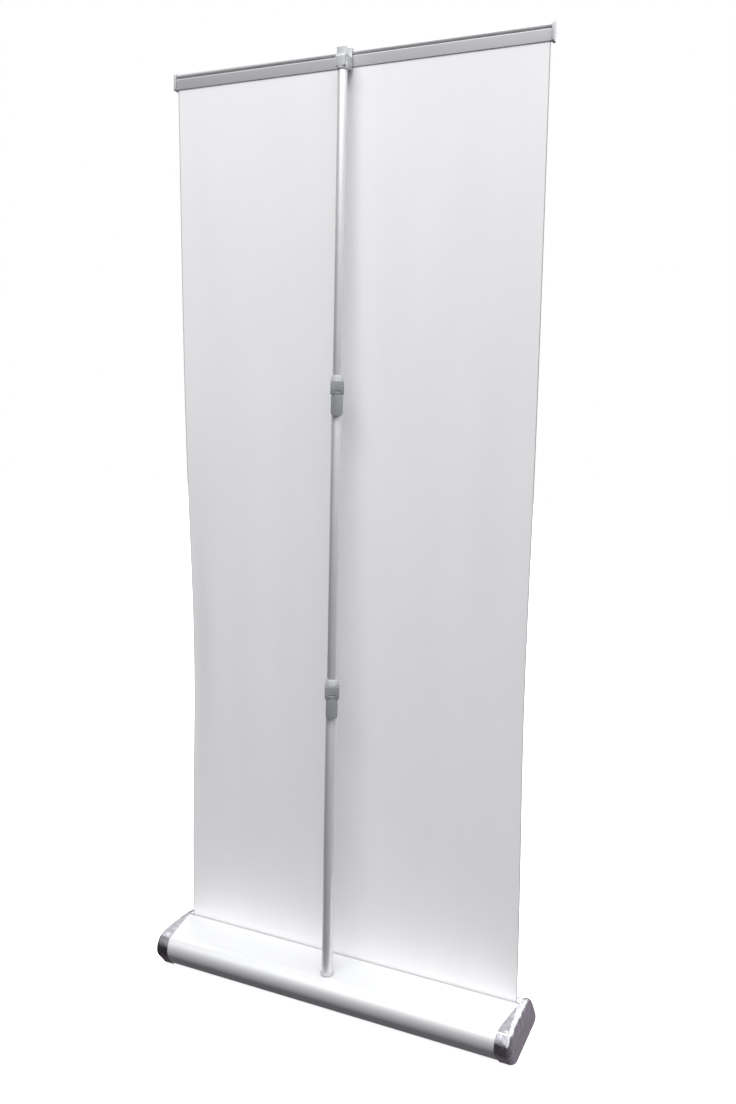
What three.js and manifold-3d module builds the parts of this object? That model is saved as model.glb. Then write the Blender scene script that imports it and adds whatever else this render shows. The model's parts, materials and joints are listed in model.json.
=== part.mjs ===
// Roll-up banner stand: a spring-roller cassette, a three-section telescopic pole with two
// flip-lever clamps, a hooked top rail and the banner sheet between them.
// Millimetres. +Z is up, X runs along the base, the banner faces -Y and the pole stands on the +Y side.
// The origin is on the floor under the middle of the base.
import * as THREE from 'three';
import { mergeVertices } from 'three/addons/utils/BufferGeometryUtils.js';
import Module from 'manifold-3d';

const wasm = await Module();
wasm.setup();

// ---------------------------------------------------------------- driving dimensions

const gap = 0.3;                   // air left between pieces that touch
const pinFit = 0.15;               // radial air around a pin or screw in its hole

// banner sheet
const sheetWidth = 850;
const sheetDrop = 2000;            // height of the sheet between the slot and the top rail
const sheetThickness = 0.5;

// cassette cross-section
const baseFrontReach = 82;         // slot to the tip of the front toe
const baseBackReach = 130;         // slot to the tip of the back nose
const baseTop = 86;                // height of the dome above the floor
const footHeight = 4;              // floor to the underside of the extrusion
const domeRadius = 420;
const domeHalfArc = 0.16;          // radians to each side of its top
const frontRadius = 58;
const frontHalfArc = 1.15;
const frontBack = 8;               // slot to the centre of the front curve
const frontDrop = 5;               // how far the front curve's top lies below the dome top
const noseRadius = 30;
const noseDrop = 2;                // how far the nose top lies below the dome top
const toeRadius = 9;
const heelRadius = 9;
const heelInset = 27;              // nose tip to heel tip
const baseWall = 2.2;
const slotWidth = 2.6;
const lipRadius = 3;               // bead along each side of the slot
const lipSink = 0.7;

// screw ports inside the extrusion, and the screws in them
const portRadius = 4.2;
const portWeb = 2;                 // web that ties a port to the wall
const portInset = 13;              // port centre to the outside of the extrusion
const portFrontInset = 30;         // slot to the upper front port
const portClearance = 0.6;
const portFromSocket = 1;          // air between the pole socket and the port under it
const screwRadius = 1.9;
const screwHeadRadius = 3.7;
const screwHeadHeight = 2.3;
const screwLength = 16;

// end covers and the plates under them
const sheetToCover = 26;           // edge of the sheet to the outer face of an end cover
const coverWall = 2.2;
const coverShoulder = 12;          // length of the rounded outer end
const coverFrontLength = 17;       // cover length at the slot
const coverBackLength = 38;        // cover length at the back nose
const coverFaceHeight = 0.68;      // height of the flat end face as a share of the section
const coverFaceDepth = 0.86;       // depth of the flat end face as a share of the section
const coverFacePlace = 0.25;       // where that drawing-in is centred, from front to back
const plateFlange = 2.5;
const platePlug = 9;
const plateEdge = 2.6;             // how far the flange stays inside the section

// spring roller
const rollerRadius = 17.5;
const rollerWall = 1.5;
const reserveThickness = 1.4;      // the turns of sheet that stay on the roller
const rollerHeight = 47;           // roller axis above the floor
const rollerGap = 4;               // end plate to the roller's end
const plugLength = 22;
const plugFlange = 2;
const plugBore = 5.4;
const shaftRadius = 5;
const shaftLength = 360;
const idlePinLength = 26;
const springMeanRadius = 11;
const springWireRadius = 1.5;
const springTurns = 10;
const springLength = 250;
const springFromPlug = 10;

// telescopic pole
const poleBehindSlot = 88;
const tubeRadii = [13, 11.5, 10];  // lower, middle and upper tube
const tubeWall = 1.1;
const tubeOverlap = 74;            // how much of a drawn tube stays in the one below it
const tubeTopRise = 8;             // top of the pole above the rail's lower edge
const guideLength = 24;
const guideFlange = 5;
const guideWall = 2;
const footPlugLength = 30;
const footPlugNose = 3;
const socketWall = 1.8;
const socketFloor = 3;
const socketRise = 4;              // socket rim above the dome
const socketRim = 0.9;             // rim's overhang over the hole
const socketRound = 1;
const socketFit = 0.35;

// pole clamps
const clampWall = 3;               // collar wall around the tube that it is fixed to
const clampHeight = 27;
const clampCone = 14;              // cone on top of the collar
const clampConeWall = 2.2;
const clampGrip = 18;              // how far the collar reaches down over its tube
const clampDepth = 6.5;            // tube wall to the flat front of the collar
const clampRound = 2;
const clampTurn = 0.45;            // radians that both clamps are turned about the pole, from +Y towards -X
const leverWidth = 26;
const leverEyeWidth = 14;
const leverEyeRadius = 3;
const leverEyeFloor = 1.5;         // collar's lower edge to the eye
const leverLength = 45;            // collar's lower edge to the lever's tip
const leverThickness = 6.2;
const leverTipRound = 9;
const leverDrop = 2.5;             // gap between the collar and the blade below it
const leverPinRadius = 1.3;

// top rail and its caps
const railHeight = 34;
const railBodyDepth = 8;
const railJawDepth = 5.5;
const railJawFoot = 2;             // the jaw's depth at its lower edge
const railBeadRadius = 5.5;
const railGroove = 1.2;            // groove between the bead and the jaw
const railOverhang = 2;            // rail beyond each edge of the sheet
const railFromPole = 30;           // pole axis to the middle of the sheet under the rail
const railChamfer = 1.5;
const railCapEdge = 2.2;           // cap's outline outside the rail's
const railCapLength = 5.5;

// hook
const hookWidth = 21;
const hookRise = 1.5;              // hook plate above the rail
const hookLip = 10;                // lip in front of the rail
const hookWall = 3.5;
const hookFit = 0.4;
const hookCupWall = 2.4;           // cup wall around the upper tube
const hookCupHeight = 10;
const hookCupDrop = 13;            // cup rim below the rail's lower edge
const hookShoulder = 23;           // top of the hook's back below the rail's upper edge
const hookBevel = 5;
const hookTab = 19;                // height of the tab above that shoulder
const hookTabWall = 4;

// rubber pads under the base
const padRadius = 11;
const padRound = 1.5;
const padInset = 55;
const padFrontInset = 24;
const padBackInset = 22;

// ---------------------------------------------------------------- places worked out from the sizes

const slotY = (baseFrontReach - baseBackReach) / 2;
const frontY = slotY - baseFrontReach;
const backY = slotY + baseBackReach;
const poleY = slotY + poleBehindSlot;
const coverEnd = sheetWidth / 2 + sheetToCover;
const housingEnd = coverEnd - coverWall - coverShoulder - gap;

// The discs that the cassette's section is drawn around: toe, front curve, dome, nose and heel.
const sectionDiscs = [
  [frontY + toeRadius, footHeight + toeRadius, toeRadius],
  [slotY - frontBack, baseTop - frontDrop - frontRadius, frontRadius, frontHalfArc],
  [slotY + (baseBackReach - noseRadius) / 2, baseTop - domeRadius, domeRadius, domeHalfArc],
  [backY - noseRadius, baseTop - noseDrop - noseRadius, noseRadius],
  [backY - heelInset - heelRadius, footHeight + heelRadius, heelRadius],
];

// The outline around discs [y, z, radius], each shrunk by inset: their convex hull.
// A fourth number limits a disc to an arc of that half angle about its top.
function hullOfDiscs(discs, inset = 0, step = Math.PI / 24) {
  const points = [];
  for (const [y, z, radius, halfArc = Math.PI] of discs) {
    const count = Math.max(8, Math.round((2 * halfArc) / step));
    for (let k = 0; k < count; k += 1) {
      const angle = Math.PI / 2 + halfArc * ((2 * k + 1) / count - 1);
      points.push([y + (radius - inset) * Math.cos(angle), z + (radius - inset) * Math.sin(angle)]);
    }
  }
  points.sort((a, b) => a[0] - b[0] || a[1] - b[1]);
  const bend = (o, a, b) => (a[0] - o[0]) * (b[1] - o[1]) - (a[1] - o[1]) * (b[0] - o[0]);
  const chain = (ordered) => {
    const kept = [];
    for (const point of ordered) {
      while (kept.length > 1 && bend(kept.at(-2), kept.at(-1), point) < 1e-3) kept.pop();
      kept.push(point);
    }
    return kept.slice(0, -1);
  };
  return [...chain(points), ...chain([...points].reverse())];
}

// Height of the section's top at a place across the base.
function topHeightAt(y) {
  const outline = hullOfDiscs(sectionDiscs);
  const heights = outline.map(([y0, z0], i) => {
    const [y1, z1] = outline[(i + 1) % outline.length];
    const crosses = y0 !== y1 && Math.min(y0, y1) <= y && y <= Math.max(y0, y1);
    return crosses ? z0 + ((z1 - z0) * (y - y0)) / (y1 - y0) : 0;
  });
  return Math.max(...heights);
}

const slotTop = topHeightAt(slotY);
const sheetLow = slotTop - baseWall;
const sheetHigh = slotTop + sheetDrop;
const rollerY = slotY + rollerRadius + reserveThickness + sheetThickness / 2;

// The three tubes are alike in length and share the height between the socket and the hook.
const socketLow = footHeight + heelRadius + portRadius + portFromSocket;
const tubeLow = socketLow + socketFloor;
const tubeLength = (sheetHigh + tubeTopRise - tubeLow + 2 * tubeOverlap) / 3;
const tubeBottoms = tubeRadii.map((_, i) => tubeLow + i * (tubeLength - tubeOverlap));
const tubeTops = tubeBottoms.map((low) => low + tubeLength);
const socketOuter = tubeRadii[0] + socketWall;

// Screw ports: [y, z, hangs from the top].
const portPlaces = [
  [frontY + toeRadius * 2, footHeight + toeRadius, false],
  [slotY - portFrontInset, topHeightAt(slotY - portFrontInset) - portInset, true],
  [backY - noseRadius / 2, baseTop - noseDrop - noseRadius, true],
  [backY - heelInset - heelRadius, footHeight + heelRadius, false],
];

const railY = poleY - railFromPole;
const railLow = sheetHigh;
const railHigh = railLow + railHeight;
const railHalf = sheetWidth / 2 + railOverhang;
const railFront = railY - railBodyDepth;
const railBack = railY + railJawDepth;
const beadY = railBack - railBeadRadius;
const beadZ = railHigh - railBeadRadius;

// ---------------------------------------------------------------- scene helpers

const finish = {
  anodised: { color: 0xd4d5d8, roughness: 0.38, metalness: 0.9 },
  tube: { color: 0xb9babd, roughness: 0.3, metalness: 0.95 },
  chrome: { color: 0xc9c8cc, roughness: 0.08, metalness: 1 },
  steel: { color: 0x9a9ba0, roughness: 0.35, metalness: 1 },
  greyPlastic: { color: 0x8b8d90, roughness: 0.5, metalness: 0 },
  lightPlastic: { color: 0xb4b6ba, roughness: 0.45, metalness: 0 },
  blackPlastic: { color: 0x1d1d1f, roughness: 0.6, metalness: 0 },
  rubber: { color: 0x161616, roughness: 0.9, metalness: 0 },
  sheet: { color: 0xe9e9e8, roughness: 0.55, metalness: 0 },
};

// Adds one named sub-part to a group.
function addPart(group, name, geometry, look, position = [0, 0, 0]) {
  const mesh = new THREE.Mesh(geometry, new THREE.MeshStandardMaterial(finish[look]));
  mesh.name = name;
  mesh.position.set(...position);
  group.add(mesh);
  return mesh;
}

// Adds an empty group at a place.
function addGroup(parent, x, y, z) {
  const group = new THREE.Group();
  group.position.set(x, y, z);
  parent.add(group);
  return group;
}

// ---------------------------------------------------------------- solids

// Turns a closed geometry into a solid that can be joined and cut.
function solid(geometry) {
  const bare = geometry.index ? geometry.toNonIndexed() : geometry.clone();
  bare.deleteAttribute('normal');
  bare.deleteAttribute('uv');
  const merged = mergeVertices(bare, 1e-4);
  return new wasm.Manifold(new wasm.Mesh({
    numProp: 3,
    vertProperties: new Float32Array(merged.attributes.position.array),
    triVerts: new Uint32Array(merged.index.array),
  }));
}

// Turns a solid back into a geometry.
function geometryOf(body) {
  const mesh = body.getMesh();
  const geometry = new THREE.BufferGeometry();
  geometry.setAttribute('position', new THREE.BufferAttribute(mesh.vertProperties, 3));
  geometry.setIndex(new THREE.BufferAttribute(mesh.triVerts, 1));
  return geometry;
}

// A turned piece about Z; profile holds [radius, height] from the lowest point to the highest.
function turned(profile, segments = 32) {
  const points = profile.map(([radius, height]) => new THREE.Vector2(radius, height));
  return new THREE.LatheGeometry(points, segments).rotateX(Math.PI / 2);
}

// A round bar along Z from one height to another.
function bar(radius, from, to, segments = 32) {
  return turned([[0, from], [radius, from], [radius, to], [0, to]], segments);
}

// A round tube along Z.
function pipe(outer, inner, from, to, segments = 32) {
  return turned([[inner, from], [outer, from], [outer, to], [inner, to], [inner, from]], segments);
}

// A round bar along X through a place in Y and Z.
function barAlongX(radius, from, to, y = 0, z = 0, segments = 16) {
  return bar(radius, from, to, segments).rotateY(Math.PI / 2).translate(0, y, z);
}

// Extrudes an outline given in Y and Z along X.
function extrudedAlongX(outline, from, to, steps = 1) {
  const shape = new THREE.Shape(outline.map(([y, z]) => new THREE.Vector2(y, z)));
  const geometry = new THREE.ExtrudeGeometry(shape, { depth: to - from, steps, bevelEnabled: false });
  const turn = new THREE.Matrix4().makeBasis(
    new THREE.Vector3(0, 1, 0),
    new THREE.Vector3(0, 0, 1),
    new THREE.Vector3(1, 0, 0),
  );
  return geometry.applyMatrix4(turn).translate(from, 0, 0);
}

// A block between two corners.
function block(low, high) {
  const size = high.map((value, axis) => value - low[axis]);
  return new THREE.BoxGeometry(...size).translate(...low.map((value, axis) => value + size[axis] / 2));
}

// Cuts several geometries out of a solid.
function cut(body, ...tools) {
  return tools.reduce((left, tool) => left.subtract(solid(tool)), body);
}

const stand = new THREE.Group();
const base = addGroup(stand, 0, 0, 0);

// ---------------------------------------------------------------- cassette

function housingGeometry() {
  let body = solid(extrudedAlongX(hullOfDiscs(sectionDiscs), -housingEnd, housingEnd));
  body = cut(body, extrudedAlongX(hullOfDiscs(sectionDiscs, baseWall), -coverEnd, coverEnd));
  for (const side of [-1, 1]) {
    const y = slotY + side * (slotWidth / 2 + lipRadius - lipSink);
    const lip = barAlongX(lipRadius, -housingEnd, housingEnd, y, topHeightAt(y) - lipRadius - lipSink, 12);
    body = body.add(solid(lip));
  }
  for (const [y, z, hangs] of portPlaces) {
    const web = block(
      [-housingEnd, y - portWeb / 2, hangs ? z : footHeight + baseWall / 2],
      [housingEnd, y + portWeb / 2, hangs ? topHeightAt(y) - baseWall / 2 : z],
    );
    body = body.add(solid(barAlongX(portRadius, -housingEnd, housingEnd, y, z))).add(solid(web));
  }
  const bores = portPlaces.map(([y, z]) => barAlongX(screwRadius + pinFit, -coverEnd, coverEnd, y, z));
  const slot = block(
    [-coverEnd, slotY - slotWidth / 2, slotTop - baseWall - 2 * lipRadius],
    [coverEnd, slotY + slotWidth / 2, baseTop + 1],
  );
  const poleHole = bar(socketOuter + socketFit, socketLow - gap, baseTop + 1).translate(0, poleY, 0);
  return geometryOf(cut(body, ...bores, slot, poleHole));
}
addPart(base, 'base_housing', housingGeometry(), 'anodised');

// An end plate closes the extrusion and carries the roller: a plug inside the wall, a flange
// over its end, and a seat for the axle. It is made for the +X end.
function endPlateGeometry(seatRadius) {
  const inside = housingEnd - platePlug;
  const flangeStart = housingEnd + gap;
  const outside = housingEnd + plateFlange;
  const lipReach = slotWidth / 2 + 2 * lipRadius + portClearance;
  const pocket = portRadius + portClearance;
  const plug = cut(
    solid(extrudedAlongX(hullOfDiscs(sectionDiscs, baseWall + gap), inside, flangeStart + gap)),
    block([inside - 1, slotY - lipReach, slotTop - 2 * lipRadius - 2 * lipSink - portClearance],
      [flangeStart, slotY + lipReach, baseTop]),
    ...portPlaces.map(([y, z, hangs]) => block(
      [inside - 1, y - pocket, hangs ? z - pocket : 0],
      [flangeStart, y + pocket, hangs ? baseTop : z + pocket],
    )),
  );
  const flange = solid(extrudedAlongX(hullOfDiscs(sectionDiscs, plateEdge), flangeStart, outside));
  return cut(
    plug.add(flange),
    ...portPlaces.map(([y, z]) => barAlongX(screwRadius + pinFit, inside - 1, outside + 1, y, z)),
    barAlongX(seatRadius + pinFit, inside - 1, outside + 1, rollerY, rollerHeight, 24),
  );
}
const leftPlate = endPlateGeometry(shaftRadius).mirror([1, 0, 0]);
const rightPlate = endPlateGeometry(plugBore - gap);
addPart(base, 'base_end_plate_left', geometryOf(leftPlate), 'blackPlastic');
addPart(base, 'base_end_plate_right', geometryOf(rightPlate), 'blackPlastic');

// The body of an end cover: the section grown by grow, full size up to the shoulder, then drawn
// in towards the floor along a quarter of an ellipse that ends at the X given.
function coverBody(grow, end) {
  const rings = 4;
  const geometry = extrudedAlongX(hullOfDiscs(sectionDiscs, -grow), -1, rings, rings + 1);
  const place = geometry.attributes.position;
  const floor = footHeight - grow;
  const middle = frontY + (backY - frontY) * coverFacePlace;
  for (let i = 0; i < place.count; i += 1) {
    const ring = Math.round(place.getX(i));
    const angle = (Math.max(ring, 0) / rings) * (Math.PI / 2);
    const drawn = 1 - Math.cos(angle);
    const x = ring < 0 ? coverEnd - coverBackLength - 1 : end - coverShoulder * (1 - Math.sin(angle));
    const y = middle + (place.getY(i) - middle) * (1 - (1 - coverFaceDepth) * drawn);
    const z = floor + (place.getZ(i) - floor) * (1 - (1 - coverFaceHeight) * drawn);
    place.setXYZ(i, x, y, z);
  }
  return solid(geometry);
}

// The inner edge of a cover is straight in front of the slot and slants inwards behind it.
function endCoverSolid() {
  const outer = coverBody(gap + coverWall, coverEnd);
  const inner = coverBody(gap, coverEnd - coverWall);
  const margin = 20;
  const plan = new THREE.Shape([
    new THREE.Vector2(coverEnd + 1, frontY - margin),
    new THREE.Vector2(coverEnd + 1, backY + margin),
    new THREE.Vector2(coverEnd - coverBackLength, backY + margin),
    new THREE.Vector2(coverEnd - coverBackLength, backY),
    new THREE.Vector2(coverEnd - coverFrontLength, slotY),
    new THREE.Vector2(coverEnd - coverFrontLength, frontY - margin),
  ]);
  const keep = new THREE.ExtrudeGeometry(plan, { depth: baseTop + 2 * margin, bevelEnabled: false });
  return outer.subtract(inner).intersect(solid(keep.translate(0, 0, -margin)));
}
const endCover = endCoverSolid();
addPart(base, 'end_cover_left', geometryOf(endCover.mirror([1, 0, 0])), 'chrome');
addPart(base, 'end_cover_right', geometryOf(endCover), 'chrome');

// Pan-head screws, head outwards.
const screwGeometry = turned([
  [0, -screwLength],
  [screwRadius * 0.6, -screwLength],
  [screwRadius, -screwLength + screwRadius],
  [screwRadius, 0],
  [screwHeadRadius, 0],
  [screwHeadRadius, screwHeadHeight * 0.5],
  [screwHeadRadius * 0.6, screwHeadHeight],
  [0, screwHeadHeight],
], 12);
for (const [name, side] of [['left', -1], ['right', 1]]) {
  portPlaces.forEach(([y, z], i) => {
    const place = [side * (housingEnd + plateFlange), y, z];
    const screw = addPart(base, `end_screw_${name}_${i + 1}`, screwGeometry, 'steel', place);
    screw.rotation.y = (side * Math.PI) / 2;
  });
}

// Rubber pads under the corners.
const padGeometry = turned([
  [0, 0],
  [padRadius - padRound, 0],
  [padRadius, padRound],
  [padRadius, footHeight],
  [0, footHeight],
], 28);
const padPlaces = [-1, 1].flatMap((side) => [
  [side * (housingEnd - padInset), frontY + padFrontInset, 0],
  [side * (housingEnd - padInset), backY - heelInset - padBackInset, 0],
]);
padPlaces.forEach((place, i) => addPart(base, `foot_pad_${i + 1}`, padGeometry, 'rubber', place));

// ---------------------------------------------------------------- spring roller

const roller = addGroup(stand, 0, rollerY, rollerHeight);
const rollerHalf = housingEnd - platePlug - rollerGap - plugFlange;
const rollerTube = pipe(rollerRadius, rollerRadius - rollerWall, -rollerHalf, rollerHalf);
addPart(roller, 'roller_tube', rollerTube.rotateY(Math.PI / 2), 'steel');

const plugRadius = rollerRadius - rollerWall - pinFit;
const plugGeometry = turned([
  [plugBore, -plugLength],
  [plugRadius, -plugLength],
  [plugRadius, 0],
  [rollerRadius, 0],
  [rollerRadius, plugFlange],
  [plugBore, plugFlange],
  [plugBore, -plugLength],
]);
for (const [name, side] of [['left', -1], ['right', 1]]) {
  const place = [side * (rollerHalf + gap / 2), 0, 0];
  const plug = addPart(roller, `roller_plug_${name}`, plugGeometry, 'blackPlastic', place);
  plug.rotation.y = (side * Math.PI) / 2;
}

const reserve = pipe(rollerRadius + reserveThickness, rollerRadius + gap / 3, -sheetWidth / 2, sheetWidth / 2, 40);
addPart(roller, 'banner_reserve_roll', reserve.rotateY(Math.PI / 2), 'sheet');

// The left end plate holds the fixed shaft with the spring on it, the right one the idle pin.
const axle = addGroup(base, 0, rollerY, rollerHeight);
const axleEnd = housingEnd + plateFlange;
addPart(axle, 'spring_shaft', barAlongX(shaftRadius, -axleEnd, -axleEnd + shaftLength, 0, 0, 24), 'steel');
addPart(axle, 'roller_idle_pin', barAlongX(plugBore - gap, axleEnd - idlePinLength, axleEnd, 0, 0, 24), 'steel');

// Centre line of the spring wire, wound about X.
class SpringCurve extends THREE.Curve {
  getPoint(t, target = new THREE.Vector3()) {
    const angle = t * springTurns * 2 * Math.PI;
    return target.set(t * springLength, springMeanRadius * Math.cos(angle), springMeanRadius * Math.sin(angle));
  }
}
const wireSection = new THREE.Shape();
wireSection.absarc(0, 0, springWireRadius, 0, 2 * Math.PI);
const springGeometry = new THREE.ExtrudeGeometry(wireSection, {
  steps: springTurns * 8,
  curveSegments: 3,
  bevelEnabled: false,
  extrudePath: new SpringCurve(),
});
const springPlace = [-rollerHalf + plugLength + springFromPlug, 0, 0];
addPart(axle, 'torsion_spring', springGeometry, 'steel', springPlace);

// ---------------------------------------------------------------- banner

// A flat sheet across the base, from one height and place to another.
function sheetGeometry(low, high, yLow, yHigh) {
  const half = sheetThickness / 2;
  const outline = [[yLow - half, low], [yLow + half, low], [yHigh + half, high], [yHigh - half, high]];
  return extrudedAlongX(outline, -sheetWidth / 2, sheetWidth / 2);
}
// The leader drops from the slot to the roller; the sheet leans back from the slot to the rail.
addPart(base, 'banner_leader', sheetGeometry(rollerHeight, sheetLow - gap, slotY, slotY), 'sheet');
addPart(base, 'banner_sheet', sheetGeometry(sheetLow, sheetHigh - gap, slotY, railY), 'sheet');

// ---------------------------------------------------------------- pole

// Socket that the pole stands in: its rim rests on the dome, around the hole that it hangs in.
const rimLow = baseTop + gap;
const rimHigh = baseTop + socketRise;
const rimRadius = socketOuter + socketRim;
const socketBore = tubeRadii[0] + pinFit;
addPart(base, 'pole_socket', turned([
  [0, socketLow],
  [socketOuter, socketLow],
  [socketOuter, rimLow],
  [rimRadius, rimLow],
  [rimRadius, rimHigh - socketRound],
  [rimRadius - socketRound, rimHigh],
  [socketBore, rimHigh],
  [socketBore, tubeLow],
  [0, tubeLow],
]), 'lightPlastic', [0, poleY, 0]);

const sectionNames = ['lower', 'middle', 'upper'];
const sections = [base, stand, stand].map((parent) => addGroup(parent, 0, poleY, 0));

tubeRadii.forEach((radius, i) => {
  const tube = pipe(radius, radius - tubeWall, tubeBottoms[i] + gap, tubeTops[i]);
  addPart(sections[i], `pole_${sectionNames[i]}_tube`, tube, 'tube');
});

// Plug in the foot of the lowest tube.
const footPlugRadius = tubeRadii[0] - tubeWall - pinFit;
const footPlugTop = tubeLow + footPlugLength;
addPart(sections[0], 'pole_foot_plug', turned([
  [0, tubeLow + gap],
  [footPlugRadius, tubeLow + gap],
  [footPlugRadius, footPlugTop],
  [footPlugRadius - footPlugNose, footPlugTop + footPlugNose],
  [0, footPlugTop + footPlugNose],
]), 'blackPlastic');

// A guide bush sits in the foot of each sliding tube and runs in the tube below.
for (const i of [1, 2]) {
  const inTube = tubeRadii[i] - tubeWall - pinFit;
  const flange = tubeRadii[i - 1] - tubeWall - pinFit;
  const bore = inTube - guideWall;
  const low = tubeBottoms[i];
  addPart(sections[i], `pole_${sectionNames[i]}_guide`, turned([
    [bore, low - guideFlange],
    [flange, low - guideFlange],
    [flange, low],
    [inTube, low],
    [inTube, low + guideLength],
    [bore, low + guideLength],
    [bore, low - guideFlange],
  ]), 'blackPlastic');
}

// ---------------------------------------------------------------- clamps

// Where the lever's pin crosses the collar, from the pole axis and the collar's lower edge.
const pinDepth = (radius) => radius + 2 * gap + leverEyeRadius;
const pinHeight = leverEyeFloor + leverEyeRadius;

// Collar over the top of a tube of one radius, for a sliding tube of another.
function collarGeometry(radius, slidingRadius) {
  const outer = radius + clampWall;
  const depth = radius + clampDepth;
  const half = outer;
  const shell = turned([[0, 0], [outer - 1, 0], [outer, 1], [outer, clampHeight], [0, clampHeight]]);
  const front = new THREE.Shape();
  front.moveTo(-half, 0);
  front.lineTo(-half, depth - clampRound);
  front.quadraticCurveTo(-half, depth, -half + clampRound, depth);
  front.lineTo(half - clampRound, depth);
  front.quadraticCurveTo(half, depth, half, depth - clampRound);
  front.lineTo(half, 0);
  const boss = new THREE.ExtrudeGeometry(front, { depth: clampHeight, bevelEnabled: false, curveSegments: 4 });
  const notchHalf = leverEyeWidth / 2 + gap;
  return geometryOf(cut(
    solid(shell).add(solid(boss)),
    bar(radius + pinFit, -1, clampGrip + gap),
    bar(slidingRadius + gap, clampGrip, clampHeight + 1),
    block([-notchHalf, radius + gap, -1], [notchHalf, depth + 1, pinHeight + leverEyeRadius + 1]),
    barAlongX(leverPinRadius + pinFit, -half - 1, half + 1, pinDepth(radius), pinHeight),
  ));
}

// Cone that sits on the collar around the sliding tube.
function coneGeometry(radius, slidingRadius) {
  const outer = radius + clampWall - clampRound / 2;
  const bore = slidingRadius + gap;
  const low = clampHeight + gap;
  const high = clampHeight + clampCone;
  return turned([
    [bore, low],
    [outer, low],
    [outer, low + clampRound],
    [slidingRadius + clampConeWall, high],
    [bore, high],
    [bore, low],
  ]);
}

// Flip lever, hanging closed; its origin is on the pin.
function leverGeometry(radius) {
  const half = leverWidth / 2;
  const top = -pinHeight - leverDrop;
  const bottom = -pinHeight - leverLength;
  const inner = radius + 2 * gap - pinDepth(radius);
  const face = new THREE.Shape();
  face.moveTo(-half, top);
  face.lineTo(-half, bottom + leverTipRound);
  face.quadraticCurveTo(-half, bottom, -half + leverTipRound, bottom);
  face.lineTo(half - leverTipRound, bottom);
  face.quadraticCurveTo(half, bottom, half, bottom + leverTipRound);
  face.lineTo(half, top);
  const blade = new THREE.ExtrudeGeometry(face, { depth: leverThickness, bevelEnabled: false, curveSegments: 7 });
  blade.rotateX(Math.PI / 2).translate(0, inner + leverThickness, 0);
  const eyeHalf = leverEyeWidth / 2;
  const neck = block([-eyeHalf, inner + gap, top - leverThickness], [eyeHalf, leverEyeRadius - gap, 0]);
  return geometryOf(cut(
    solid(blade).add(solid(barAlongX(leverEyeRadius, -eyeHalf, eyeHalf, 0, 0, 24))).add(solid(neck)),
    barAlongX(leverPinRadius + pinFit, -half, half),
  ));
}

for (const i of [0, 1]) {
  const name = sectionNames[i];
  const radius = tubeRadii[i];
  const low = tubeTops[i] - clampGrip;
  const pin = [0, pinDepth(radius), low + pinHeight];
  const pinHalf = radius + clampWall - gap;
  const clamp = addGroup(sections[i], 0, 0, 0);
  const lever = addGroup(stand, 0, poleY, 0);
  clamp.rotation.z = clampTurn;
  lever.rotation.z = clampTurn;
  addPart(clamp, `clamp_${name}_collar`, collarGeometry(radius, tubeRadii[i + 1]), 'greyPlastic', [0, 0, low]);
  addPart(clamp, `clamp_${name}_cone`, coneGeometry(radius, tubeRadii[i + 1]), 'lightPlastic', [0, 0, low]);
  addPart(clamp, `clamp_${name}_pin`, barAlongX(leverPinRadius, -pinHalf, pinHalf), 'steel', pin);
  addPart(lever, `clamp_${name}_lever`, leverGeometry(radius), 'greyPlastic', pin);
}

// ---------------------------------------------------------------- top rail and hook

const top = addGroup(stand, 0, 0, 0);

// Front half of the rail, with the bead along its top; the sheet is clamped against its back.
function railBodyOutline() {
  const face = railY - sheetThickness;
  const outline = [
    [railFront, railLow + railChamfer],
    [railFront + railChamfer, railLow],
    [face, railLow],
    [face, beadZ - railBeadRadius - railGroove],
    [beadY, beadZ - railBeadRadius],
  ];
  for (let k = 1; k <= 12; k += 1) {
    const angle = -Math.PI / 2 + (k * Math.PI) / 12;
    outline.push([beadY + railBeadRadius * Math.cos(angle), beadZ + railBeadRadius * Math.sin(angle)]);
  }
  outline.push([railFront + 2 * railChamfer, railHigh], [railFront, railHigh - 2 * railChamfer]);
  return outline;
}

// Rear half: the jaw below the bead.
function railJawOutline() {
  const inner = railY + sheetThickness;
  const high = railHigh - 2 * railBeadRadius - railGroove;
  return [
    [inner, railLow],
    [railY + railJawFoot, railLow],
    [railBack, high - railChamfer],
    [railBack - 1, high],
    [inner, high - railChamfer],
  ];
}
addPart(top, 'top_rail_body', extrudedAlongX(railBodyOutline(), -railHalf, railHalf), 'anodised');
addPart(top, 'top_rail_jaw', extrudedAlongX(railJawOutline(), -railHalf, railHalf), 'anodised');

// Moulded cap that closes an end of the rail.
const railCapOutline = hullOfDiscs([
  [railFront + 1, railLow + 1, 1 + railCapEdge],
  [railBack - 1, railLow + 1, 1 + railCapEdge],
  [beadY, beadZ, railBeadRadius + railCapEdge],
  [railFront + 2 * railChamfer, railHigh - 2 * railChamfer, 2 * railChamfer + railCapEdge],
], 0, Math.PI / 12);
const railCapStart = railHalf + gap;
const railCap = solid(extrudedAlongX(railCapOutline, railCapStart, railCapStart + railCapLength));
addPart(top, 'rail_cap_left', geometryOf(railCap.mirror([1, 0, 0])), 'lightPlastic');
addPart(top, 'rail_cap_right', geometryOf(railCap), 'lightPlastic');

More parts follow.
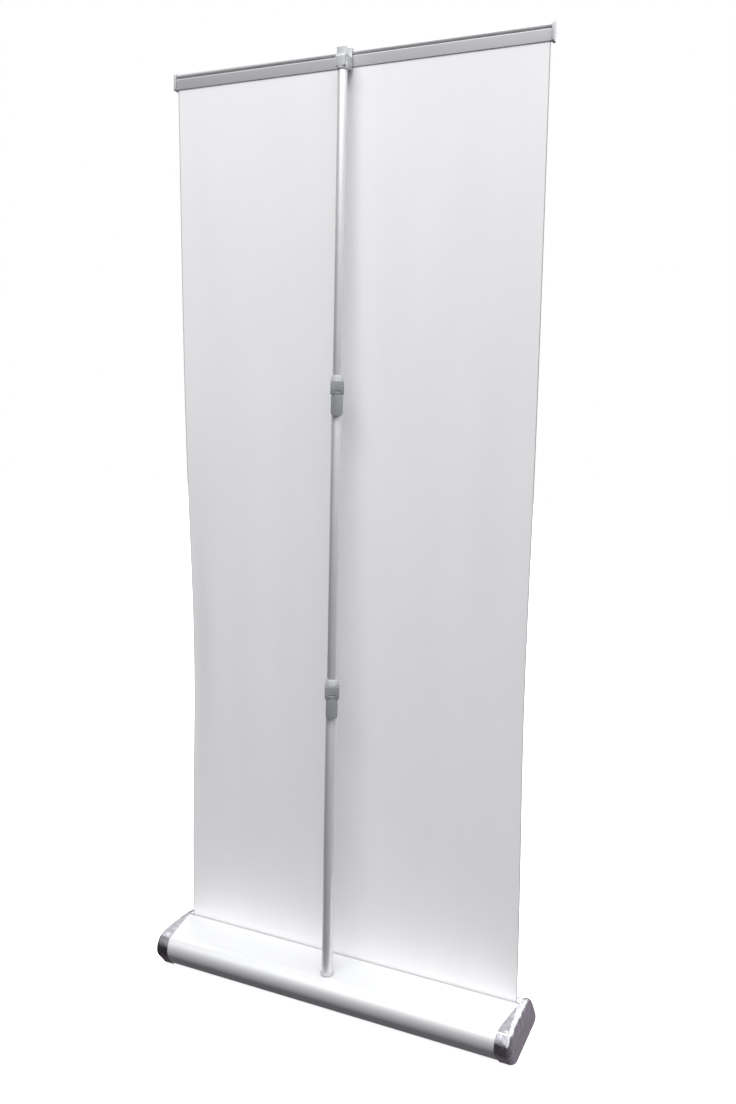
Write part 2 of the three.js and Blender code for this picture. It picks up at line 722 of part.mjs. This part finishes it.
// Hook on the upper tube: a cup over the tube, a block behind the rail with a thumb tab on top, and
// a plate over the rail with a lip in front of it.
function hookGeometry() {
  const cupRadius = tubeRadii[2] + hookCupWall;
  const cupLow = railLow - hookCupDrop;
  const plateHigh = railHigh + hookRise;
  const shoulder = railHigh - hookShoulder;
  const back = poleY + cupRadius;
  const seat = railBack + hookFit;
  const front = railFront - hookFit - hookWall;
  const outline = [
    [seat, cupLow + hookCupHeight / 2],
    [back, cupLow + hookCupHeight / 2],
    [back, shoulder],
    [back - hookBevel, shoulder + hookBevel],
    [back - hookBevel, shoulder + hookTab],
    [back - hookBevel - hookTabWall, shoulder + hookTab],
    [back - hookBevel - hookTabWall, shoulder + hookBevel],
    [seat + hookWall, shoulder + hookBevel],
    [seat + hookWall, plateHigh],
    [front + 1, plateHigh],
    [front, plateHigh - 1],
    [front, railHigh - hookLip],
    [front + hookWall, railHigh - hookLip],
    [front + hookWall, railHigh + hookFit],
    [seat, railHigh + hookFit],
  ];
  const cup = bar(cupRadius, cupLow, cupLow + hookCupHeight).translate(0, poleY, 0);
  const bore = bar(tubeRadii[2] + pinFit, cupLow - 1, tubeTops[2] + gap).translate(0, poleY, 0);
  return geometryOf(cut(solid(extrudedAlongX(outline, -hookWidth / 2, hookWidth / 2)).add(solid(cup)), bore));
}
addPart(top, 'pole_hook', hookGeometry(), 'lightPlastic');

export default stand;
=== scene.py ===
# Roll-up banner stand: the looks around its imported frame. Metres, +Z up, the banner faces -Y.
import json
import math

import bpy
import numpy as np
from mathutils import Matrix, Vector


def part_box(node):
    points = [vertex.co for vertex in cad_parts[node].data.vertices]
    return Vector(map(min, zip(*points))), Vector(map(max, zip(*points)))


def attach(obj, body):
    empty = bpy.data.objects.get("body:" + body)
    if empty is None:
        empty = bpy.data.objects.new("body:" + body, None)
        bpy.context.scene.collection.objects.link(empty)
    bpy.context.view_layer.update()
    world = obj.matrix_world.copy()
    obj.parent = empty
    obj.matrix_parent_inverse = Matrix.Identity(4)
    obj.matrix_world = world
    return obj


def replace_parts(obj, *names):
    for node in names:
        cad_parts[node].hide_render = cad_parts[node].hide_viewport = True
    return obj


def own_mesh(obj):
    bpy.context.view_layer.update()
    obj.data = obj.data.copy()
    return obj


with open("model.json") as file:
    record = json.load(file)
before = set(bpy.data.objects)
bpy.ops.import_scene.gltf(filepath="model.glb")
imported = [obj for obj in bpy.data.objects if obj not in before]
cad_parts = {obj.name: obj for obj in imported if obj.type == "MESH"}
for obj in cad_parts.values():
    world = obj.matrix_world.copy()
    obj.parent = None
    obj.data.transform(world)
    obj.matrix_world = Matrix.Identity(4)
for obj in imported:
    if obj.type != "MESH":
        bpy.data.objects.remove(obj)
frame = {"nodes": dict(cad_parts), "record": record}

MM = 0.001
scene = bpy.context.scene
nodes = frame["nodes"]
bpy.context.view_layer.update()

# ---------------------------------------------------------------- places read from the frame

housing_low, housing_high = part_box("base_housing")
cover_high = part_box("end_cover_right")[1]
sheet_low, sheet_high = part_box("banner_sheet")
leader_low, leader_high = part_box("banner_leader")
socket_low, socket_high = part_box("pole_socket")
slot_y = (leader_low.y + leader_high.y) / 2
rail_y = sheet_high.y
pole_y = (socket_low.y + socket_high.y) / 2
front_y, back_y = housing_low.y, housing_high.y
foot_height, base_top = housing_low.z, housing_high.z
sheet_half = sheet_high.x
film_in_cad = leader_high.y - leader_low.y
film_thickness = 0.35 * MM


# ---------------------------------------------------------------- camera

CAMERA_PLACE = (-0.9168, 1.954, 1.3869)
CAMERA_YAW = 23.94          # degrees from -Y towards +X
CAMERA_PITCH = -7.10
CAMERA_ROLL = 1.23
CAMERA_LENS = 31.73
CAMERA_SHIFT = (0.0005, -0.0231)


def make_camera():
    yaw, pitch, roll = (math.radians(a) for a in (CAMERA_YAW, CAMERA_PITCH, CAMERA_ROLL))
    forward = Vector((math.sin(yaw) * math.cos(pitch), -math.cos(yaw) * math.cos(pitch), math.sin(pitch)))
    right = Vector((-math.cos(yaw), -math.sin(yaw), 0))
    up = right.cross(forward)
    rolled_right = math.cos(roll) * right + math.sin(roll) * up
    rolled_up = -math.sin(roll) * right + math.cos(roll) * up
    data = bpy.data.cameras.new("camera")
    data.lens = CAMERA_LENS
    data.sensor_width = 36
    data.shift_x, data.shift_y = CAMERA_SHIFT
    camera = bpy.data.objects.new("camera", data)
    turn = Matrix((rolled_right, rolled_up, -forward)).transposed()
    camera.matrix_world = Matrix.Translation(CAMERA_PLACE) @ turn.to_4x4()
    scene.collection.objects.link(camera)
    scene.camera = camera


make_camera()

# ---------------------------------------------------------------- materials


class Shader:
    """A node material built around one Principled shader."""

    def __init__(self, name, color, roughness, metallic=0.0):
        self.material = bpy.data.materials.new(name)
        self.material.use_nodes = True
        self.tree = self.material.node_tree
        self.shader = self.tree.nodes["Principled BSDF"]
        self.color = color
        self.shader.inputs["Base Color"].default_value = (*color, 1)
        self.shader.inputs["Roughness"].default_value = roughness
        self.shader.inputs["Metallic"].default_value = metallic
        self.place = self.tree.nodes.new("ShaderNodeTexCoord").outputs["Object"]
        self.bump = None

    def link(self, source, target):
        self.tree.links.new(source, target)

    def noise(self, size, detail=3.0, stretch=(1, 1, 1)):
        """Noise whose patches are about size metres wide, drawn out by stretch along each axis."""
        mapping = self.tree.nodes.new("ShaderNodeMapping")
        mapping.inputs["Scale"].default_value = [1 / (size * s) for s in stretch]
        self.link(self.place, mapping.inputs["Vector"])
        texture = self.tree.nodes.new("ShaderNodeTexNoise")
        texture.inputs["Scale"].default_value = 1
        texture.inputs["Detail"].default_value = detail
        self.link(mapping.outputs["Vector"], texture.inputs["Vector"])
        return texture.outputs["Fac"]

    def ranged(self, value, low, high, start=0.3, end=0.7):
        """Maps value from start..end to low..high."""
        node = self.tree.nodes.new("ShaderNodeMapRange")
        node.inputs["From Min"].default_value = start
        node.inputs["From Max"].default_value = end
        node.inputs["To Min"].default_value = low
        node.inputs["To Max"].default_value = high
        self.link(value, node.inputs["Value"])
        return node.outputs["Result"]

    def shades(self, value, dark, light):
        """Base colour that wanders between two tones."""
        ramp = self.tree.nodes.new("ShaderNodeValToRGB")
        ramp.color_ramp.elements[0].position = 0.3
        ramp.color_ramp.elements[1].position = 0.7
        ramp.color_ramp.elements[0].color = (*dark, 1)
        ramp.color_ramp.elements[1].color = (*light, 1)
        self.link(value, ramp.inputs["Fac"])
        self.link(ramp.outputs["Color"], self.shader.inputs["Base Color"])
        return self

    def toned(self, value, spread):
        """Base colour a little darker and lighter than the plain one."""
        dark = [c * (1 - spread) for c in self.color]
        light = [min(1, c * (1 + spread)) for c in self.color]
        return self.shades(value, dark, light)

    def darkened(self, attribute, most):
        """Darkens the base colour where a mesh attribute is near one."""
        reader = self.tree.nodes.new("ShaderNodeAttribute")
        reader.attribute_name = attribute
        mix = self.tree.nodes.new("ShaderNodeMix")
        mix.data_type = "RGBA"
        mix.blend_type = "MULTIPLY"
        mix.inputs["B"].default_value = (1 - most, 1 - most, 1 - most, 1)
        self.link(reader.outputs["Fac"], mix.inputs["Factor"])
        self.link(self.shader.inputs["Base Color"].links[0].from_socket, mix.inputs["A"])
        self.link(mix.outputs["Result"], self.shader.inputs["Base Color"])
        return self

    def rough(self, value, low, high):
        self.link(self.ranged(value, low, high), self.shader.inputs["Roughness"])
        return self

    def bumped(self, value, height, strength=1.0):
        node = self.tree.nodes.new("ShaderNodeBump")
        node.inputs["Distance"].default_value = height
        node.inputs["Strength"].default_value = strength
        self.link(value, node.inputs["Height"])
        if self.bump:
            self.link(self.bump, node.inputs["Normal"])
        self.bump = node.outputs["Normal"]
        self.link(self.bump, self.shader.inputs["Normal"])
        return self

    def set(self, socket, value):
        self.shader.inputs[socket].default_value = value
        return self


def anodised():
    """Satin silver anodised extrusion, with die lines along X."""
    m = Shader("anodised_aluminium", (0.84, 0.845, 0.85), 0.40, 0.45)
    lines = m.noise(0.0011, 2, (500, 1, 1))
    m.rough(lines, 0.36, 0.46).toned(m.noise(0.05, 2, (6, 1, 1)), 0.02)
    return m.bumped(lines, 0.00002).bumped(m.noise(0.0003, 2), 0.000006).material


def rail_finish():
    """The rail's thicker, duller anodising."""
    m = Shader("rail_aluminium", (0.585, 0.59, 0.60), 0.45, 0.15)
    lines = m.noise(0.0011, 2, (500, 1, 1))
    m.rough(lines, 0.40, 0.50).toned(m.noise(0.05, 2, (6, 1, 1)), 0.03)
    return m.bumped(lines, 0.00002).bumped(m.noise(0.0003, 2), 0.000006).material


def drawn_tube():
    """Drawn aluminium tube, with faint lines along its length and rubbed bands around it."""
    m = Shader("pole_aluminium", (0.76, 0.76, 0.77), 0.42, 0.6)
    lines = m.noise(0.0009, 3, (1, 1, 350))
    m.rough(lines, 0.36, 0.48).toned(m.noise(0.02, 3, (1, 1, 4)), 0.03)
    return m.bumped(lines, 0.000015).material


def chrome():
    """Chrome-plated moulding: the reflections wobble with the moulding's slow waves, and a painted
    reflection mottles its base colour.
    """
    m = Shader("chrome", (0.72, 0.71, 0.755), 0.09, 1.0)
    m.rough(m.noise(0.02, 4), 0.06, 0.14)
    # painted reflection: the base colour wanders between a dark purple-grey and a light grey, standing in
    # for mottled reflections
    m.shades(m.noise(0.014, 3), (0.56, 0.54, 0.60), (0.80, 0.795, 0.82))
    return m.bumped(m.noise(0.020, 2), 0.0022).bumped(m.noise(0.006, 2), 0.00022).material


def zinc():
    """Zinc-plated steel."""
    m = Shader("steel", (0.58, 0.59, 0.60), 0.35, 1.0)
    m.rough(m.noise(0.004, 4), 0.25, 0.45).toned(m.noise(0.008, 3), 0.08)
    return m.bumped(m.noise(0.0008, 3), 0.00002).material


def moulded(name, color, roughness, grain, height):
    """Moulded plastic with a fine even grain."""
    m = Shader(name, color, roughness)
    m.rough(m.noise(0.006, 3), roughness - 0.06, roughness + 0.06).toned(m.noise(0.012, 3), 0.05)
    return m.bumped(m.noise(grain, 2), height).material


def film():
    """White banner film: satin, with a faint mottle, a very fine grain and edge bands painted darker as
    shade.
    """
    m = Shader("banner_film", (0.86, 0.86, 0.865), 0.55)
    m.toned(m.noise(0.09, 3, (1, 1, 3)), 0.012).rough(m.noise(0.03, 2), 0.50, 0.60)
    m.bumped(m.noise(0.0009, 3), 0.000012)
    # painted shade: the base colour is darkened along both edge bands, standing in for the shade of the
    # film's thin edge and curl
    return m.darkened("edge_shade", 0.8).set("Specular IOR Level", 0.35).material


LOOKS = {
    "anodised_aluminium": anodised(),
    "pole_aluminium": drawn_tube(),
    "chrome": chrome(),
    "steel": zinc(),
    "grey_plastic": moulded("grey_plastic", (0.245, 0.255, 0.26), 0.42, 0.0006, 0.00003),
    "light_plastic": moulded("light_plastic", (0.50, 0.51, 0.52), 0.30, 0.0006, 0.00003),
    "black_plastic": moulded("black_plastic", (0.025, 0.025, 0.027), 0.5, 0.0008, 0.00004),
    "rubber": moulded("rubber", (0.022, 0.022, 0.022), 0.8, 0.0012, 0.00006),
    "banner_film": film(),
}
SLOT_OF = {row["node"]: row["material_slot"] for row in frame["record"]["subparts"]}

for name, node in nodes.items():
    node.data.materials.clear()
    node.data.materials.append(LOOKS[SLOT_OF[name]])

duller = rail_finish()
for name in ("top_rail_body", "top_rail_jaw"):
    nodes[name].data.materials[0] = duller

# ---------------------------------------------------------------- mesh helpers


def add_mesh(name, vertices, faces, slot, body, sharp=40):
    """Adds a smooth-shaded piece with the material of a slot, riding on a body."""
    mesh = bpy.data.meshes.new(name)
    mesh.from_pydata([tuple(v) for v in vertices], [], faces)
    mesh.validate()
    mesh.shade_smooth()
    mesh.set_sharp_from_angle(angle=math.radians(sharp))
    mesh.materials.append(LOOKS[slot])
    piece = bpy.data.objects.new(name, mesh)
    scene.collection.objects.link(piece)
    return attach(piece, body)


def filleted(corners, steps):
    """A closed 2-D outline whose corners (a, b, radius) are rounded with arcs."""
    count, points = len(corners), []
    for i, (a, b, radius) in enumerate(corners):
        here = Vector((a, b))
        before = Vector(corners[i - 1][:2]) - here
        after = Vector(corners[(i + 1) % count][:2]) - here
        half = before.angle(after) / 2
        reach = radius / math.tan(half)
        start, end = here + before.normalized() * reach, here + after.normalized() * reach
        centre = here + (before.normalized() + after.normalized()).normalized() * (radius / math.sin(half))
        for k in range(steps + 1):
            spoke = (start - centre).lerp(end - centre, k / steps)
            points.append(centre + spoke.normalized() * radius)
    return points


def turned(name, profile, slot, body, place=(0, 0, 0), segments=96):
    """A turned ring about Z. profile is a closed outline of (radius, height) clear of the axis."""
    rings, vertices = [], []
    for radius, height in profile:
        rings.append(list(range(len(vertices), len(vertices) + segments)))
        for k in range(segments):
            angle = 2 * math.pi * k / segments
            vertices.append((radius * math.cos(angle), radius * math.sin(angle), height))
    faces = []
    for low, high in zip(rings, rings[1:] + rings[:1]):
        for k in range(segments):
            n = (k + 1) % segments
            faces.append([low[k], low[n], high[n], high[k]])
    moved = [Vector(v) + Vector(place) for v in vertices]
    return add_mesh(name, moved, faces, slot, body, sharp=35)


# ---------------------------------------------------------------- cassette section

DOME_RADIUS = 420 * MM
DOME_HALF_ARC = 0.16
FRONT_RADIUS = 58 * MM
FRONT_HALF_ARC = 1.15
FRONT_BACK = 8 * MM          # slot to the centre of the front curve
FRONT_DROP = 5 * MM          # front curve's top below the dome's
NOSE_RADIUS = 30 * MM
NOSE_DROP = 2 * MM
TOE_RADIUS = 9 * MM
HEEL_RADIUS = 9 * MM
HEEL_INSET = 27 * MM         # nose tip to heel tip

base_peak = cover_high.z - 2.5 * MM
DISCS = [
    (front_y + TOE_RADIUS, foot_height + TOE_RADIUS, TOE_RADIUS, math.pi),
    (slot_y - FRONT_BACK, base_peak - FRONT_DROP - FRONT_RADIUS, FRONT_RADIUS, FRONT_HALF_ARC),
    ((slot_y + back_y - NOSE_RADIUS) / 2, base_peak - DOME_RADIUS, DOME_RADIUS, DOME_HALF_ARC),
    (back_y - NOSE_RADIUS, base_peak - NOSE_DROP - NOSE_RADIUS, NOSE_RADIUS, math.pi),
    (back_y - HEEL_INSET - HEEL_RADIUS, foot_height + HEEL_RADIUS, HEEL_RADIUS, math.pi),
]


def outermost(angle):
    """The section's point that lies furthest in a direction, without growth."""
    direction = np.array((math.cos(angle), math.sin(angle)))
    best, reach = None, -1e9
    for y, z, radius, half_arc in DISCS:
        off = (angle - math.pi / 2 + math.pi) % (2 * math.pi) - math.pi
        bound = math.pi / 2 + max(-half_arc, min(half_arc, off))
        point = np.array((y + radius * math.cos(bound), z + radius * math.sin(bound)))
        if point @ direction > reach:
            best, reach = point, point @ direction
    return best, direction


def section(grow=0.0, longest=0.004, turn_step=math.radians(2.5)):
    """Smooth closed outline around the section, anticlockwise from the top, grown outward along its
    normals by grow.
    """
    count = round(2 * math.pi / turn_step)
    samples = [outermost(math.pi / 2 + turn_step * (k + 0.5)) for k in range(count)]
    outline = []
    for (point, normal), (after, normal_after) in zip(samples, samples[1:] + samples[:1]):
        steps = max(1, math.ceil(np.linalg.norm(after - point) / longest))
        for k in range(steps):
            t = k / steps
            blended = normal * (1 - t) + normal_after * t
            outline.append(point * (1 - t) + after * t + grow * blended / np.linalg.norm(blended))
    return np.array(outline)


# ---------------------------------------------------------------- cassette extrusion

WALL = 2.2 * MM
SLOT_HALF = 1.3 * MM


def cassette():
    """The extrusion: one wall that runs from one lip of the slot round to the other."""
    outer, inner = section(), section(-WALL)
    away = np.abs(outer[:, 0] - slot_y) < SLOT_HALF + WALL / 2
    over = away & (outer[:, 1] > base_top / 2)
    order = np.roll(np.arange(len(outer)), -int(np.flatnonzero(over)[-1]) - 1)
    kept = [i for i in order if not over[i]]
    if outer[kept[0], 0] > outer[kept[-1], 0]:
        kept = kept[::-1]
    profile = [outer[i] for i in kept]
    profile += lip(outer[kept[-1]], inner[kept[-1]])
    profile += [inner[i] for i in reversed(kept)]
    profile += lip(inner[kept[0]], outer[kept[0]])
    stations = [housing_low.x, 0, housing_high.x]
    vertices = [(x, y, z) for x in stations for y, z in profile]
    size = len(profile)
    faces = []
    for s in range(len(stations) - 1):
        for k in range(size):
            n = (k + 1) % size
            faces.append([s * size + k, s * size + n, (s + 1) * size + n, (s + 1) * size + k])
    faces.append(list(range(size))[::-1])
    faces.append([(len(stations) - 1) * size + k for k in range(size)])
    return add_mesh("cassette", vertices, faces, "anodised_aluminium", "base", sharp=50)


def lip(start, end, steps=8):
    """Half a circle from one skin of the wall to the other."""
    middle, spoke = (start + end) / 2, (start - end) / 2
    side = np.array((spoke[1], -spoke[0]))
    towards = np.sign(slot_y - middle[0])
    side = side * (1 if side[0] * towards > 0 else -1)
    angles = [math.pi * k / steps for k in range(1, steps)]
    return [middle + spoke * math.cos(a) + side * math.sin(a) for a in angles]


housing = cassette()
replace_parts(housing, "base_housing")

# ---------------------------------------------------------------- end covers

COVER_WALL = 2.2 * MM
COVER_GAP = 0.3 * MM
COVER_SHOULDER = 12 * MM
COVER_FRONT_LENGTH = 17 * MM
COVER_BACK_LENGTH = 38 * MM
COVER_FACE_HEIGHT = 0.68
COVER_FACE_DEPTH = 0.86
COVER_FACE_PLACE = 0.25
COVER_RINGS = 14


def cover_ring(outline, grow, end, angle):
    """One ring of a cover's shoulder, drawn in towards the floor by the angle along its quarter."""
    drawn = 1 - math.cos(angle)
    middle = front_y + (back_y - front_y) * COVER_FACE_PLACE
    floor = foot_height - grow
    y = middle + (outline[:, 0] - middle) * (1 - (1 - COVER_FACE_DEPTH) * drawn)
    z = floor + (outline[:, 1] - floor) * (1 - (1 - COVER_FACE_HEIGHT) * drawn)
    x = np.full(len(outline), end - COVER_SHOULDER * (1 - math.sin(angle)))
    return np.stack([x, y, z], 1)


def cover_edge(outline, end, beyond=0.0):
    """The cover's edge on the extrusion: straight in front of the slot, slanting behind it."""
    share = np.clip((outline[:, 0] - slot_y) / (back_y - slot_y), 0, 1)
    x = end - COVER_FRONT_LENGTH - (COVER_BACK_LENGTH - COVER_FRONT_LENGTH) * share - beyond
    return np.stack([x, outline[:, 0], outline[:, 1]], 1)


def end_cover(name, side):
    end = cover_high.x
    grown = section(COVER_GAP + COVER_WALL)
    middle = section(COVER_GAP + COVER_WALL / 2)
    bare = section(COVER_GAP)
    angles = [math.pi / 2 * k / COVER_RINGS for k in range(COVER_RINGS + 1)]
    outside = [cover_ring(grown, COVER_GAP + COVER_WALL, end, a) for a in angles]
    inside = [cover_ring(bare, COVER_GAP, end - COVER_WALL, a) for a in angles]
    heart = outside[-1].mean(0)
    held = [heart + (outside[-1] - heart) * s for s in (0.96, 0.5)]
    rings = held[::-1] + outside[::-1]
    rings += [cover_edge(grown, end), cover_edge(middle, end, 0.5 * MM), cover_edge(bare, end)]
    rings += inside
    count = len(grown)
    vertices = np.concatenate(rings) * (side, 1, 1)
    faces = []
    for r in range(len(rings) - 1):
        for k in range(count):
            n = (k + 1) % count
            faces.append([r * count + k, r * count + n, (r + 1) * count + n, (r + 1) * count + k])
    faces.append(list(range(count))[::-1])
    faces.append([(len(rings) - 1) * count + k for k in range(count)])
    if side > 0:
        faces = [face[::-1] for face in faces]
    return add_mesh(name, vertices, faces, "chrome", "base", sharp=60)


for name, side in (("cover_left", -1), ("cover_right", 1)):
    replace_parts(end_cover(name, side), f"end_{name}")

# ---------------------------------------------------------------- banner

COLUMNS, ROWS = 120, 220
BOW_HEIGHT, BOW_SPREAD = 0.32, 0.22
BOW_IN = 8 * MM
EDGE_SHADE_WIDTH = 2.5 * MM               # width of the edge band painted darker as shade
CURL_WIDTH = 45 * MM
CURL_RIGHT, CURL_LEFT = 12 * MM, 4 * MM


def banner():
    """The sheet, taut but not flat: long faint waves, and edges that bow in and curl a little."""
    edge_shade = 1 - EDGE_SHADE_WIDTH / sheet_half
    u = np.concatenate([[-1], np.linspace(-edge_shade, edge_shade, COLUMNS - 1), [1]])
    t = np.linspace(0, 1, ROWS + 1)
    u, t = np.meshgrid(u, t)
    ease = np.sin(math.pi * t) ** 0.7
    bow = np.exp(-((t - BOW_HEIGHT) / BOW_SPREAD) ** 2) * ease
    x = u * (sheet_half - BOW_IN * bow * np.abs(u) ** 2)
    edge = (1 - np.abs(u)) * sheet_half / CURL_WIDTH
    curl = np.exp(-edge ** 2) * bow * np.where(u > 0, CURL_RIGHT, CURL_LEFT)
    waves = 1.4 * np.sin(5.3 * u + 1.2 * t + 0.4) + 0.8 * np.sin(11.9 * u - 2.1 * t + 1.7)
    waves += 0.8 * np.sin(2.2 * u + 4.0 * t) + 0.3 * np.sin(23.0 * u + 3.0 * t)
    y = slot_y + (rail_y - film_in_cad / 2 - slot_y) * t - curl + waves * MM * ease
    z = sheet_low.z + (sheet_high.z - sheet_low.z) * t
    front = np.stack([x, y - film_thickness / 2, z], -1).reshape(-1, 3)
    back = np.stack([x, y + film_thickness / 2, z], -1).reshape(-1, 3)
    wide, count = COLUMNS + 1, len(front)
    faces = []
    for r in range(ROWS):
        for c in range(COLUMNS):
            a = r * wide + c
            faces.append([a, a + 1, a + wide + 1, a + wide])
            faces.append([count + a, count + a + wide, count + a + wide + 1, count + a + 1])
    border = list(range(COLUMNS)) + [r * wide + COLUMNS for r in range(ROWS)]
    border += [ROWS * wide + c for c in range(COLUMNS, 0, -1)] + [r * wide for r in range(ROWS, 0, -1)]
    for a, b in zip(border, border[1:] + border[:1]):
        faces.append([a, count + a, count + b, b])
    piece = add_mesh("banner", np.concatenate([front, back]), faces, "banner_film", "base", sharp=60)
    # painted shade: marks both edge bands, whose base colour the film material darkens as shade of the
    # thin edge and curl
    at_edge = np.tile((np.abs(u) > edge_shade + 1e-6).astype(float).ravel(), 2)
    piece.data.attributes.new("edge_shade", "FLOAT", "POINT").data.foreach_set("value", at_edge)
    return piece


sheet = banner()
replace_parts(sheet, "banner_sheet")
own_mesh(sheet)

# ---------------------------------------------------------------- pole

TUBE_WALL = 1.1 * MM
TUBE_EDGE = 0.3 * MM

for name, body in (("lower", "base"), ("middle", "middle_section"), ("upper", "upper_section")):
    low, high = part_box(f"pole_{name}_tube")
    outer = (high.x - low.x) / 2
    inner = outer - TUBE_WALL
    corners = [(inner, low.z), (outer, low.z), (outer, high.z), (inner, high.z)]
    profile = filleted([(r, z, TUBE_EDGE) for r, z in corners], steps=3)
    tube = turned(f"tube_{name}", profile, "pole_aluminium", body, (0, pole_y, 0))
    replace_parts(tube, f"pole_{name}_tube")

# ---------------------------------------------------------------- crisp edges on the other CAD parts


def soften(node, width, angle=30, segments=3):
    """Rounds a CAD part's edges and shades it smoothly, without touching its mesh."""
    part = nodes[node]
    part.data.shade_smooth()
    weld = part.modifiers.new("weld", "WELD")
    weld.merge_threshold = 0.01 * MM
    flat = part.modifiers.new("flat", "DECIMATE")
    flat.decimate_type = "DISSOLVE"
    flat.angle_limit = math.radians(1)
    bevel = part.modifiers.new("bevel", "BEVEL")
    bevel.width = width
    bevel.segments = segments
    bevel.limit_method = "ANGLE"
    bevel.angle_limit = math.radians(angle)
    bevel.harden_normals = True
    bevel.use_clamp_overlap = True


for node in ("clamp_lower_collar", "clamp_middle_collar", "clamp_lower_lever", "clamp_middle_lever"):
    soften(node, 0.7 * MM)
for node in ("clamp_lower_cone", "clamp_middle_cone"):
    soften(node, 0.5 * MM)
soften("pole_hook", 0.8 * MM)
soften("pole_socket", 0.3 * MM)
for node in ("rail_cap_left", "rail_cap_right"):
    soften(node, 0.8 * MM)
for node in ("top_rail_body", "top_rail_jaw"):
    soften(node, 0.35 * MM)

# ---------------------------------------------------------------- stage and light


def floor():
    size = 12
    mesh = bpy.data.meshes.new("floor")
    corners = [(-size, -size, 0), (size, -size, 0), (size, size, 0), (-size, size, 0)]
    mesh.from_pydata(corners, [], [[0, 1, 2, 3]])
    look = Shader("floor", (0.80, 0.80, 0.80), 0.9)
    look.set("Emission Color", (1, 1, 1, 1)).set("Emission Strength", 0.75)
    mesh.materials.append(look.material)
    plane = bpy.data.objects.new("floor", mesh)
    scene.collection.objects.link(plane)
    plane.visible_glossy = False
    plane.visible_diffuse = False


def area_light(name, place, target, size, energy):
    data = bpy.data.lights.new(name, "AREA")
    data.shape = "RECTANGLE"
    data.size, data.size_y = size
    data.energy = energy
    light = bpy.data.objects.new(name, data)
    light.location = place
    light.rotation_euler = (Vector(target) - Vector(place)).to_track_quat("-Z", "Y").to_euler()
    scene.collection.objects.link(light)


def studio():
    """A white room above a dark floor, darker on its +X side, with bright panels ahead of the banner.

    The panels only show in reflections, and the camera sees the room plain white.
    """
    world = bpy.data.worlds.new("studio")
    world.use_nodes = True
    tree = world.node_tree
    tree.nodes.clear()
    new, link = tree.nodes.new, tree.links.new
    place = new("ShaderNodeTexCoord")
    split = new("ShaderNodeSeparateXYZ")
    link(place.outputs["Generated"], split.inputs[0])
    height = new("ShaderNodeValToRGB")
    stops = [(0.0, 0.09), (0.44, 0.10), (0.52, 0.30), (0.62, 0.66), (0.80, 1.2), (1.0, 2.2)]
    elements = height.color_ramp.elements
    for place_, value in stops[1:-1]:
        elements.new(place_)
    for element, (place_, value) in zip(elements, stops):
        element.position = place_
        tint = (1, 1, 1.02) if place_ > 0.5 else (1.0, 0.90, 1.04)
        element.color = (*(value * c for c in tint), 1)
    up = new("ShaderNodeMapRange")
    up.inputs["From Min"].default_value = -1
    link(split.outputs["Z"], up.inputs["Value"])
    link(up.outputs["Result"], height.inputs["Fac"])
    across = new("ShaderNodeMapRange")
    across.interpolation_type = "SMOOTHSTEP"
    across.inputs["From Min"].default_value = -0.5
    across.inputs["From Max"].default_value = 0.55
    across.inputs["To Min"].default_value = 1.35
    across.inputs["To Max"].default_value = 0.38
    link(split.outputs["X"], across.inputs["Value"])
    ahead = new("ShaderNodeMapRange")
    ahead.inputs["From Min"].default_value = -0.8
    ahead.inputs["From Max"].default_value = 0.1
    ahead.inputs["To Min"].default_value = 1.3
    ahead.inputs["To Max"].default_value = 0.0
    link(split.outputs["Y"], ahead.inputs["Value"])
    seen = new("ShaderNodeLightPath")
    boost = new("ShaderNodeMath")
    boost.operation = "MULTIPLY_ADD"
    link(ahead.outputs["Result"], boost.inputs[0])
    link(seen.outputs["Is Glossy Ray"], boost.inputs[1])
    boost.inputs[2].default_value = 1.0
    both = new("ShaderNodeMath")
    both.operation = "MULTIPLY"
    link(across.outputs["Result"], both.inputs[0])
    link(boost.outputs[0], both.inputs[1])
    room = new("ShaderNodeBackground")
    link(height.outputs["Color"], room.inputs["Color"])
    link(both.outputs[0], room.inputs["Strength"])
    plain = new("ShaderNodeBackground")
    plain.inputs["Color"].default_value = (1, 1, 1, 1)
    mix = new("ShaderNodeMixShader")
    link(seen.outputs["Is Camera Ray"], mix.inputs["Fac"])
    link(room.outputs[0], mix.inputs[1])
    link(plain.outputs[0], mix.inputs[2])
    out = new("ShaderNodeOutputWorld")
    link(mix.outputs[0], out.inputs["Surface"])
    scene.world = world


floor()
studio()
area_light("top", (0.1, 2.4, 4.8), (0, 0.1, 0.6), (3.0, 2.0), 135)
scene.view_settings.view_transform = "Standard"
